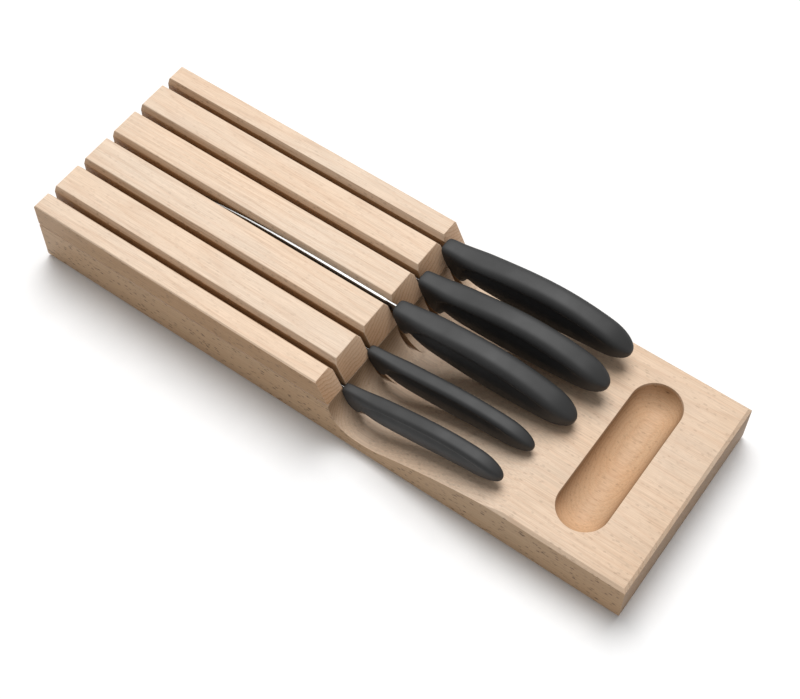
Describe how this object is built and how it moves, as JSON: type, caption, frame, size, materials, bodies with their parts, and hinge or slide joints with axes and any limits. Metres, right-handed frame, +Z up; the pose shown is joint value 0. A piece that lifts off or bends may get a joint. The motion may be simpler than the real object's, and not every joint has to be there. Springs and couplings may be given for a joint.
{
  "type": "knife block with knives",
  "caption": "Flat wooden drawer knife block with slotted ribs, a finger scoop and a tray recess, holding kitchen knives with moulded black handles.",
  "frame": {"origin": "centre of the whole object's footprint, on the underside of the base board", "axes": "+Z up; +Y along the blades towards their tips, so the tray end is at -Y; +X to the right seen from the tray end, with the small knives at -X"},
  "size_m": [0.13, 0.391, 0.0576],
  "materials": {
    "beech_board": "oiled beech, long grain with fine ray flecks",
    "beech_ribs": "oiled beech, planed face",
    "blade_steel": "fine cross-ground stainless steel",
    "handle_polymer": "satin black moulded polymer"
  },
  "bodies": {
    "block": {"base_board": "beech_board", "rib_left_outer": "beech_ribs", "rib_left_second": "beech_ribs", "rib_left_inner": "beech_ribs", "rib_right_inner": "beech_ribs", "rib_right_second": "beech_ribs", "rib_right_outer": "beech_ribs"},
    "paring_knife": {"paring_blade": "blade_steel", "paring_handle": "handle_polymer"},
    "tomato_knife": {"tomato_blade": "blade_steel", "tomato_handle": "handle_polymer"},
    "chef_knife": {"chef_blade": "blade_steel", "chef_handle": "handle_polymer"},
    "bread_knife": {"bread_blade": "blade_steel", "bread_handle": "handle_polymer"},
    "carving_knife": {"carving_blade": "blade_steel", "carving_handle": "handle_polymer"}
  },
  "joints": [
    {"name": "paring_draw", "type": "slide", "parent": "block", "child": "paring_knife", "axis": [0, -0.8192, 0.5736], "range_m": [0, 0.14]},
    {"name": "tomato_draw", "type": "slide", "parent": "block", "child": "tomato_knife", "axis": [0, -0.8192, 0.5736], "range_m": [0, 0.14]},
    {"name": "chef_draw", "type": "slide", "parent": "block", "child": "chef_knife", "axis": [0, -0.8192, 0.5736], "range_m": [0, 0.14]},
    {"name": "bread_draw", "type": "slide", "parent": "block", "child": "bread_knife", "axis": [0, -0.8192, 0.5736], "range_m": [0, 0.14]},
    {"name": "carving_draw", "type": "slide", "parent": "block", "child": "carving_knife", "axis": [0, -0.8192, 0.5736], "range_m": [0, 0.14]}
  ]
}
